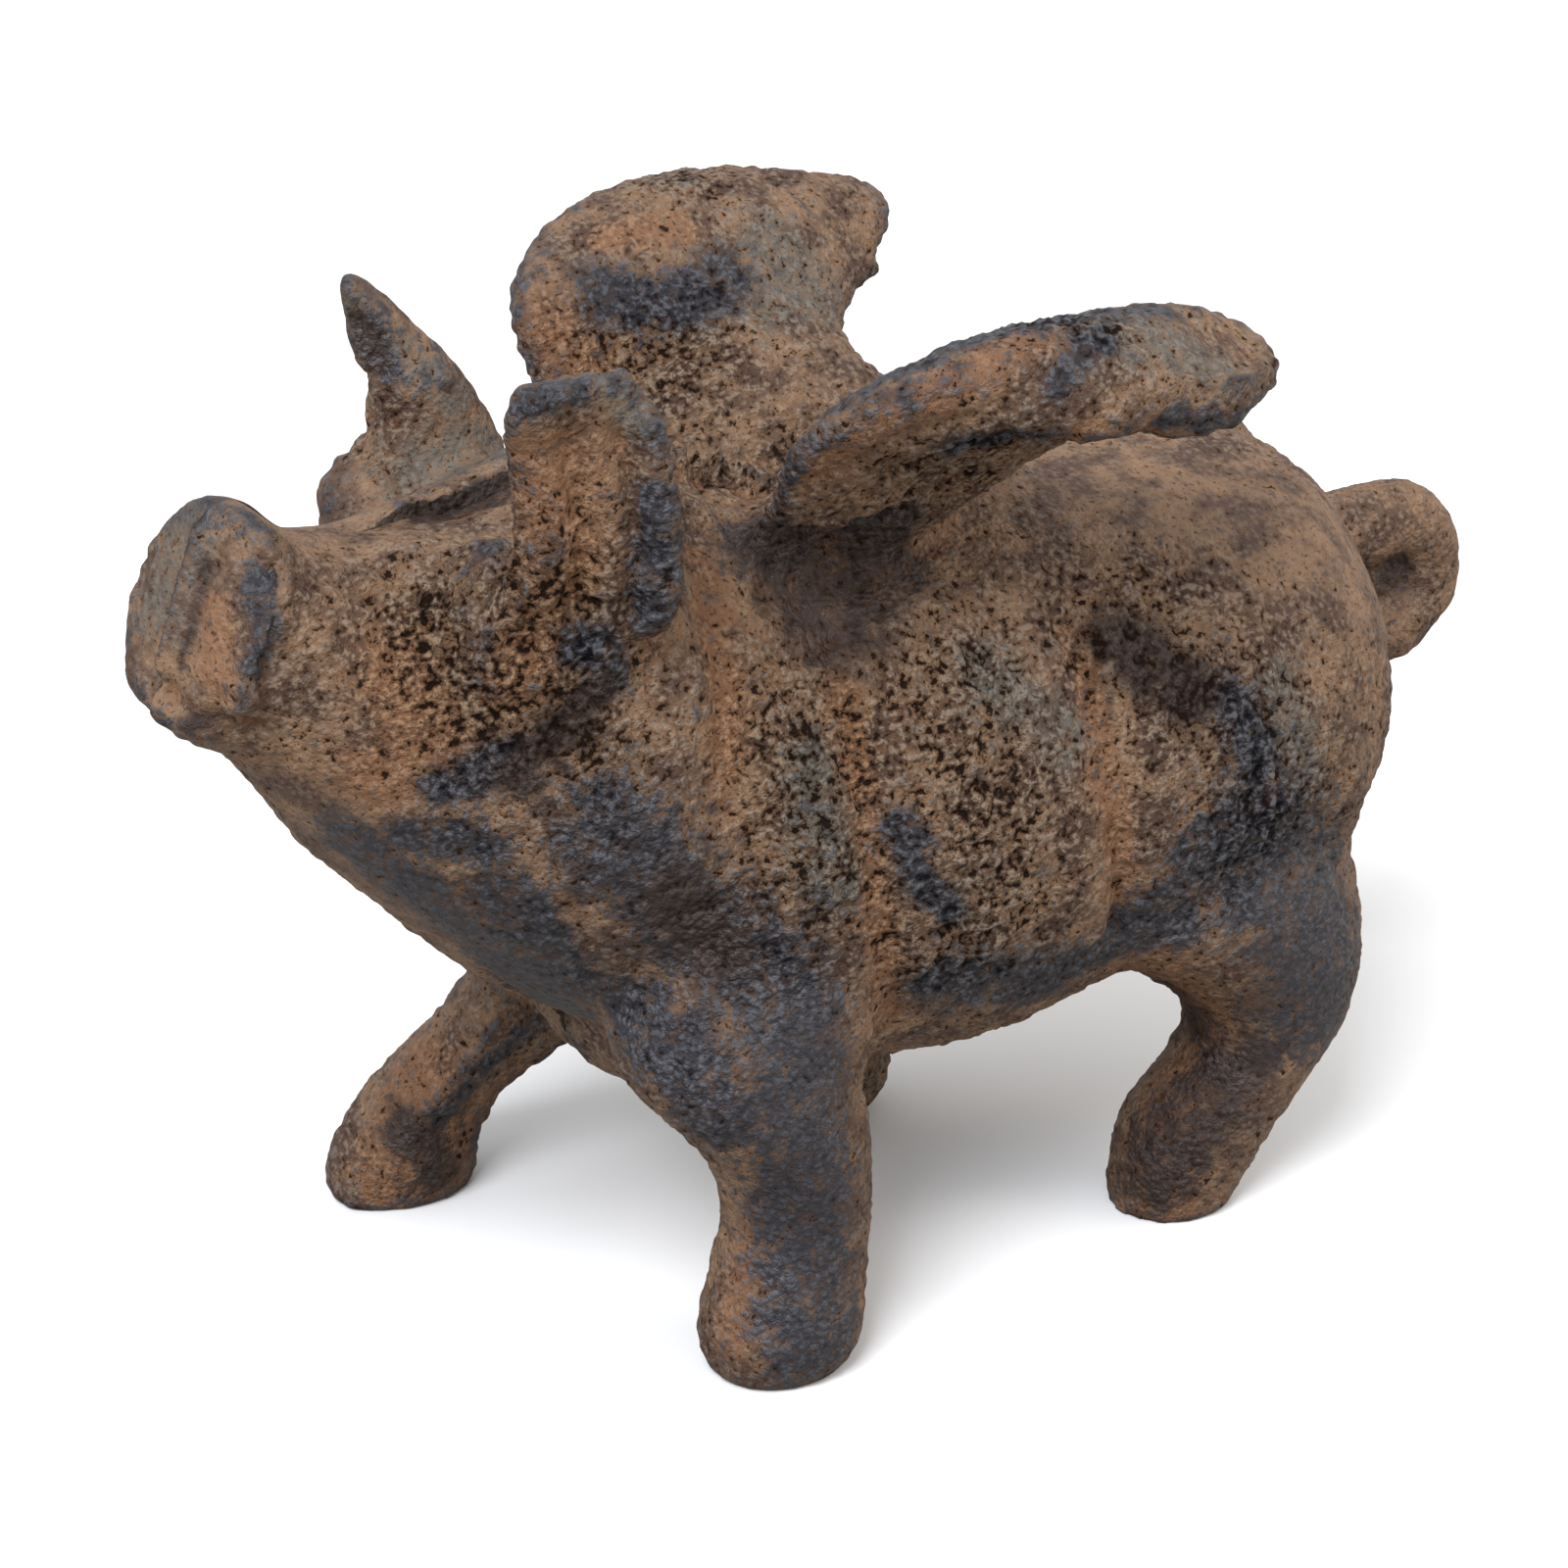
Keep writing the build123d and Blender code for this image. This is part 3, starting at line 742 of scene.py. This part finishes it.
tail_mesh = remeshed("tail_clay", bm, TAIL_VOXEL)
tail_clay = Clay(tail_mesh)
off_root = np.clip((tail_clay.at[:, 0] - ROOT_END) / ROOT_FADE, 0, 1)
height = sum(tall * noise_at(tail_clay, size, seed) for size, tall, seed in TAIL_LUMPS)
tail_clay.at += tail_clay.normals() * ((height - FIT) * off_root)[:, None]
tail_clay.at = np.clip(tail_clay.at, [v / MM for v in tail_low], [v / MM for v in tail_high])
tail_clay.write()
for polygon in tail_mesh.polygons:
    polygon.use_smooth = True
sculpted["tail"] = new_object("curled_tail", tail_mesh)
print("curled_tail has", len(tail_mesh.polygons), "faces")

# %% [markdown]
# Paint on the tail.
# It is an even brown with a little rust and grey, and the pit in its curl is dark with painted shade
# and a little blue-black. The attributes are the same as on the halves, so one material does for all
# the iron.

# %% Paint the tail and put the sculpted pieces in the model
TAIL_RUST, TAIL_RUBBED, TAIL_COARSE = 0.25, 0.2, 0.4
PIT_WASH = 0.4
# the pit in the curl gets painted shade, and a little blue-black
pit = tail_clay.near([(47.8, -3, 40.2)], 2.4)
even = np.ones(tail_clay.count)
tail_paint = np.stack((TAIL_RUST * even, PIT_WASH * pit, TAIL_RUBBED * even, pit), 1)
paint_attributes(tail_mesh, tail_paint, TAIL_COARSE * even, height)
for node, piece in sculpted.items():
    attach(piece, "root")
    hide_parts(node)
    print(piece.name, "replaces", node)

# %% [markdown]
# Painted sand-cast iron.
# Iron poured into a sand mould keeps the print of the sand, and this pig was then painted in three
# goes: a brown coat, dabs of colour, and a pale tan dry brush that only touches the tops. To the eye
# that is a dull dark metal with a fine speckle: nearly black in the pits, coloured on the middle level
# and pale on the tops. The nearly black of the pits is painted shade, and the pale tops are partly
# painted highlight where light catches the grain. The nodes build it in that order. A picture could
# do it too, but nodes work at any distance and follow the sculpted shape.

# %% Node helpers
SOFT_STEP = {"interpolation_type": "SMOOTHSTEP"}
COLOUR_MIX = {"data_type": "RGBA"}
FACTOR, FIRST, SECOND, RESULT = 0, 6, 7, 2  # the Mix node's sockets for colours


def srgb(text):
    """A linear colour from a hex code such as '8a705d'."""
    shares = [int(text[i:i + 2], 16) / 255 for i in (0, 2, 4)]
    return [s / 12.92 if s <= 0.04045 else ((s + 0.055) / 1.055) ** 2.4 for s in shares] + [1.0]


def make_material(name):
    """A new node material, its nodes and its shader."""
    material = bpy.data.materials.new(name)
    material.use_nodes = True
    return material, material.node_tree, material.node_tree.nodes["Principled BSDF"]


def add(tree, kind, inputs=None, out=0, **settings):
    """Adds a node, sets or links its inputs, and gives back one of its outputs."""
    node = tree.nodes.new("ShaderNode" + kind)
    for key, value in settings.items():
        setattr(node, key, value)
    for key, value in (inputs or {}).items():
        if isinstance(value, bpy.types.NodeSocket):
            tree.links.new(value, node.inputs[key])
        else:
            node.inputs[key].default_value = value
    return node.outputs[out]


iron, tree, shader = make_material("rustic painted iron")
print("a new material:", iron.name)

# %% [markdown]
# The grain.
# Moulding sand is 0.2 to 0.5 mm wide, which is finer than the render can show. It is drawn at
# 0.55 mm, the size at which the grain shows in the photograph. A noise of that size, with a little of
# round cells for crumbs, gives its height. Three more noises serve the paint: 0.3 mm for pinholes,
# 1.6 mm for the ragged edges of the dabs and 3.5 mm for clouds in the brown coat.

# %% Grain pattern
GRAIN = 0.55
NOISES = (  # size in mm, detail and roughness
    ("clump", GRAIN, 4.0, 0.6),
    ("speck", 0.3, 1.0, 0.5),
    ("patch", 1.6, 4.0, 0.65),
    ("cloud", 3.5, 4.0, 0.6),
)
coords = add(tree, "TexCoord", out="Object")
pattern = {}
for kind, size, detail, roughness in NOISES:
    inputs = {"Vector": coords, "Scale": 1 / (size * MM), "Detail": detail, "Roughness": roughness}
    pattern[kind] = add(tree, "TexNoise", inputs)
cells = add(tree, "TexVoronoi", {"Vector": coords, "Scale": 1 / (GRAIN * MM)}, "Distance", feature="F1")
crumbs = add(tree, "MapRange", {"Value": cells, "From Min": 0.8, "From Max": 0.1}, **SOFT_STEP)
grain = 0.0
for value, share in ((crumbs, 0.18), (pattern["clump"], 0.82)):
    grain = add(tree, "Math", {0: value, 1: share, 2: grain}, operation="MULTIPLY_ADD")
print("patterns in mm:", {kind: size for kind, size, detail, roughness in NOISES})

# %% [markdown]
# Ragged dabs.
# Real paint breaks up at the edge of a dab, where it only holds on the grain. So noise is added to
# each channel of the painted attribute before a soft step turns it into paint or no paint.

# %% Dabs of the three paints and the painted shade
BREAKING = 5.0  # how much stronger the noise is than the painted attribute
STEPS = (  # channel of the attribute, and where the soft step starts and ends
    ("rust", "Red", 0.1, 1.1),
    # pale grey: rubbed paint and painted highlight
    ("rubbed_and_highlight", "Blue", 0.3, 1.4),
    ("wash", "Green", 0.15, 1.0),
    # dark brown painted shade in hollows and under things
    ("painted_shade", "Alpha", 0.1, 1.1),
)
dab = add(tree, "Attribute", out="Color", attribute_name="paint").node
channels = add(tree, "SeparateColor", {"Color": dab.outputs["Color"]}).node.outputs
ragged = 0.0
for value, share in ((pattern["patch"], 0.4), (grain, 0.35), (pattern["cloud"], 0.25)):
    ragged = add(tree, "Math", {0: value, 1: share, 2: ragged}, operation="MULTIPLY_ADD")
ragged = add(tree, "Math", {0: ragged, 1: 0.5}, operation="SUBTRACT")
paint = {}
for name, channel, low, high in STEPS:
    amount = dab.outputs["Alpha"] if channel == "Alpha" else channels[channel]
    amount = add(tree, "Math", {0: ragged, 1: BREAKING, 2: amount}, operation="MULTIPLY_ADD")
    paint[name] = add(tree, "MapRange", {"Value": amount, "From Min": low, "From Max": high}, **SOFT_STEP)
print("paints:", list(paint))

# %% [markdown]
# Colours of the three levels.
# The middle level is a brown that wanders between two shades, with three paints and the painted shade
# over it. The tops have a paler shade of each, a painted highlight where light catches the grain, partly
# a dry brush of pale paint. The pits are nearly black, painted shade of the pits, a little bluer where
# the blue-black ran into them.

# %% Colours
brown = add(tree, "MapRange", {"Value": pattern["cloud"], "From Min": 0.38, "From Max": 0.62}, **SOFT_STEP)
brown_shades = {FACTOR: brown, FIRST: srgb("4c3628"), SECOND: srgb("826449")}
middle = add(tree, "Mix", brown_shades, RESULT, **COLOUR_MIX)
painted_highlight_tops = srgb("9c8770")
PAINTS = (  # colour on the middle level, and on the tops with painted highlight
    ("rust", "7a5539", "a8845f"),
    # pale grey: rubbed paint and painted highlight
    ("rubbed_and_highlight", "5c554b", "868074"),
    ("wash", "25242a", "5b5c63"),
    # dark brown painted shade in hollows and under things
    ("painted_shade", "2c1d17", "46352c"),
)
for name, on_middle, on_tops in PAINTS:
    share = paint[name]
    middle = add(tree, "Mix", {FACTOR: share, FIRST: middle, SECOND: srgb(on_middle)}, RESULT, **COLOUR_MIX)
    painted_highlight_tops = add(tree, "Mix", {FACTOR: share, FIRST: painted_highlight_tops, SECOND: srgb(on_tops)}, RESULT, **COLOUR_MIX)
# the nearly black of the pits is painted shade
pit_shades = {FACTOR: paint["wash"], FIRST: srgb("241812"), SECOND: srgb("131318")}
painted_pit_shade = add(tree, "Mix", pit_shades, RESULT, **COLOUR_MIX)
print("colours of the paints on the middle level and on the tops:", PAINTS)

# %% [markdown]
# Levels.
# The height of the grain decides which level a spot is on, and the sculpted clumps add to it. The pits
# get painted shade and the tops a painted highlight. In the coarse places the pits are wider and the
# painted highlight covers more, so both follow the coarseness. One colour ramp could give the three
# levels, but not with four kinds of dab on two of them.

# %% Put the levels together
CLUMP_SHARE = 0.15  # of the sculpted clumps in the height
WASH_HIGHLIGHT = 0.1  # more painted highlight on the tops of the blue-black, where it shows best
PIT_EDGE = {"From Min": -0.04, "From Max": 0.05}  # soft steps of the height
TOP_EDGE = {"From Min": 0.49, "From Max": 0.6}
coarseness = add(tree, "Attribute", out="Fac", attribute_name="coarse")
clump = add(tree, "Attribute", out="Fac", attribute_name="raised")
clump = add(tree, "Math", {0: clump, 1: coarseness}, operation="MULTIPLY")
height = add(tree, "Math", {0: clump, 1: CLUMP_SHARE, 2: grain}, operation="MULTIPLY_ADD")
by_coarseness = {}
for kind, on_smooth, on_coarse in (("pit line", 0.3, 0.41), ("highlight_share", 0.2, 0.9), ("bump", 0.35, 1.0)):
    inputs = {"Value": coarseness, "From Min": 0.25, "From Max": 1.0}
    by_coarseness[kind] = add(tree, "MapRange", {**inputs, "To Min": on_smooth, "To Max": on_coarse})
above = add(tree, "Math", {0: height, 1: by_coarseness["pit line"]}, operation="SUBTRACT")
on_middle = add(tree, "MapRange", {"Value": above, **PIT_EDGE}, **SOFT_STEP)
# below the pit line the colour is the painted shade of the pits
base = add(tree, "Mix", {FACTOR: on_middle, FIRST: painted_pit_shade, SECOND: middle}, RESULT, **COLOUR_MIX)
# on the tops: painted highlight of the grain, partly a pale dry brush
on_tops = add(tree, "MapRange", {"Value": height, **TOP_EDGE}, **SOFT_STEP)
inputs = {0: paint["wash"], 1: WASH_HIGHLIGHT, 2: by_coarseness["highlight_share"]}
brushed = add(tree, "Math", inputs, operation="MULTIPLY_ADD")
brushed = add(tree, "Math", {0: on_tops, 1: brushed}, operation="MULTIPLY")
base = add(tree, "Mix", {FACTOR: brushed, FIRST: base, SECOND: painted_highlight_tops}, RESULT, **COLOUR_MIX)
print("pit line, highlight_share and bump follow the coarseness")

# %% [markdown]
# Pinholes and the joint.
# Gas leaves pinholes in a casting, and their dark is painted shade. Where the halves meet, a hairline
# of dirt shows the joint. Both are too fine for the clay, so they are colour only.

# %% Pinholes and the joint
HOLE_EDGE = {"From Min": 0.37, "From Max": 0.3}
HOLE_SHARE, JOINT_SHARE = 0.75, 0.85
JOINT_OUTER, JOINT_INNER = 0.03, 0.005  # mm from the parting plane
# dark pinholes: painted shade, in the colour of the pits
pinhole_shade = add(tree, "MapRange", {"Value": pattern["speck"], **HOLE_EDGE}, **SOFT_STEP)
pinhole_shade = add(tree, "Math", {0: pinhole_shade, 1: HOLE_SHARE}, operation="MULTIPLY")
base = add(tree, "Mix", {FACTOR: pinhole_shade, FIRST: base, SECOND: painted_pit_shade}, RESULT, **COLOUR_MIX)
across = add(tree, "SeparateXYZ", {"Vector": coords}, "Y")
across = add(tree, "Math", {0: across}, operation="ABSOLUTE")
inputs = {"Value": across, "From Min": JOINT_OUTER * MM, "From Max": JOINT_INNER * MM}
joint = add(tree, "MapRange", inputs, **SOFT_STEP)
joint = add(tree, "Math", {0: joint, 1: JOINT_SHARE}, operation="MULTIPLY")
base = add(tree, "Mix", {FACTOR: joint, FIRST: base, SECOND: srgb("1f1612")}, RESULT, **COLOUR_MIX)
print("joint line:", 2 * JOINT_OUTER, "mm wide")

# %% [markdown]
# Gloss and bump.
# Paint covers the iron, so it isn't metallic. Paint on a rough casting is dull, with a roughness of
# about 0.6, and the thicker blue-black is a little shinier. Pits have hardly any gloss, because light
# doesn't get out of them again. The bump is the finest part of the grain, too fine for the mesh, and
# strongest in the coarse places.

# %% Gloss and bump
BUMP_HEIGHT = 2.0  # mm, more than real grains are high, so that they show at this size
gloss = add(tree, "MapRange", {"Value": paint["wash"], "To Min": 0.6, "To Max": 0.42})
inputs = {"Value": above, "From Min": -0.05, "From Max": 0.15, "To Min": 0.05, "To Max": 0.5}
sheen = add(tree, "MapRange", inputs)
inputs = {"Strength": by_coarseness["bump"], "Distance": BUMP_HEIGHT * MM, "Height": grain}
bump = add(tree, "Bump", inputs)
finish = {"Base Color": base, "Roughness": gloss, "Specular IOR Level": sheen, "Normal": bump}
for socket, value in finish.items():
    tree.links.new(value, shader.inputs[socket])
for piece in sculpted.values():
    piece.data.materials.append(iron)
print(iron.name, "has", len(tree.nodes), "nodes")

# %% [markdown]
# Brushed steel.
# The screws and the pins are plain turned steel, and only the screw heads show, sunk in the right
# flank. To the eye they are a small even glint. Turning marks are about a hundredth of a millimetre
# wide, which is far too fine to show as lines on such small heads. The noise has no coordinates of its
# own, so it runs once over the box of each piece, and its scale is that of a 25 mm screw. It only
# varies the roughness between 0.28 and 0.45, as usual for such steel.

# %% Brushed steel
MARK, SCREW = 0.01, 25.0  # mm, the width of a turning mark and the length of a screw
steel, tree, shader = make_material("brushed steel")
shader.inputs["Metallic"].default_value = 1.0
shader.inputs["Base Color"].default_value = srgb("b8b6b2")
marks = add(tree, "TexNoise", {"Scale": SCREW / MARK, "Detail": 2.0})
gloss = add(tree, "MapRange", {"Value": marks, "To Min": 0.28, "To Max": 0.45})
tree.links.new(gloss, shader.inputs["Roughness"])
for name in ("neck_screw", "withers_screw", "rump_screw", "snout_dowel", "belly_dowel"):
    nodes[name].data.materials.clear()
    nodes[name].data.materials.append(steel)
    print(name, "is", steel.name)

# %% [markdown]
# The floor.
# The photograph is a plain product shot on white. The camera sees a white floor, but the light that
# the floor throws back on the pig is that of plain grey paper, and the floor keeps the soft shadow.

# %% Floor
FLOOR_SIZE = 6
bpy.ops.mesh.primitive_plane_add(size=FLOOR_SIZE, location=(0, 0, 0))
floor = bpy.context.object
floor.name = "floor"
paper, tree, shader = make_material("pale paper")
seen = add(tree, "LightPath", out="Is Camera Ray")
shades = {FACTOR: seen, FIRST: srgb("a09c96"), SECOND: srgb("f8f8f6")}
tree.links.new(add(tree, "Mix", shades, RESULT, **COLOUR_MIX), shader.inputs["Base Color"])
shader.inputs["Roughness"].default_value = 0.9
floor.data.materials.append(paper)
floor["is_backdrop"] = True
print("floor of", floor.dimensions.x, "m")

# %% [markdown]
# The light.
# Broad soft light from all sides comes from the world, a large cool key lamp stands above on the left
# and a warm fill lamp low on the right. Large lamps far off give soft shadows without a bright spot on
# the floor.

# %% World and lamps
AIM = Vector((0, 0, 0.04))
SKY_STRENGTH = 0.8
scene = bpy.context.scene
world = bpy.data.worlds.new("studio")
scene.world = world
world.use_nodes = True
sky = world.node_tree.nodes["Background"]
sky.inputs["Strength"].default_value = SKY_STRENGTH
seen = add(world.node_tree, "LightPath", out="Is Camera Ray")
shades = {FACTOR: seen, FIRST: (0.96, 0.97, 1.0, 1), SECOND: (1.35, 1.35, 1.35, 1)}
world.node_tree.links.new(add(world.node_tree, "Mix", shades, RESULT, **COLOUR_MIX), sky.inputs["Color"])


def soft_lamp(name, place, size, power, colour):
    """A square lamp that faces the pig. The place and the size are in metres."""
    data = bpy.data.lights.new(name, "AREA")
    data.size = size
    data.energy = power
    data.color = srgb(colour)[:3]
    lamp = new_object(name, data)
    lamp.location = place
    lamp.rotation_mode = "QUATERNION"
    lamp.rotation_quaternion = (Vector(place) - AIM).to_track_quat("Z", "Y")
    lamp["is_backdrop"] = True
    print(name, "lamp of", power, "W")


soft_lamp("key", (-1.15, -0.75, 1.6), 0.9, 46.0, "f4f7ff")
soft_lamp("fill", (1.5, -1.2, 0.8), 1.5, 16.0, "fff4ea")

# %% [markdown]
# The camera.
# It stands where the photographer's did. Its angles and lens were found by matching the ear tips, the
# wings and the feet of the CAD model with the photograph.

# %% Camera
AZIMUTH, ELEVATION, DISTANCE = math.radians(-34), math.radians(23), 0.27
TARGET = Vector((-0.0073, 0, 0.035))
LENS, SENSOR = 88.6, 36  # mm
level = math.cos(ELEVATION)
back = Vector((math.sin(AZIMUTH) * level, -math.cos(AZIMUTH) * level, math.sin(ELEVATION)))
camera = new_object("camera", bpy.data.cameras.new("camera"))
scene.camera = camera
camera.location = TARGET + back * DISTANCE
camera.rotation_mode = "QUATERNION"
camera.rotation_quaternion = back.to_track_quat("Z", "Y")
camera.data.lens = LENS
camera.data.sensor_width = SENSOR
camera.data.clip_start = 0.01
scene.view_settings.view_transform = "Standard"
print("camera at", [round(v, 3) for v in camera.location], "m")

# %% [markdown]
# Size.
# The sculpted pig must be as large as the CAD model, so both boxes are kept for a comparison.

# %% Size of the scene
low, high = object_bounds()
print("scene box in mm:", [round(v / MM, 2) for v in (*low, *high)])
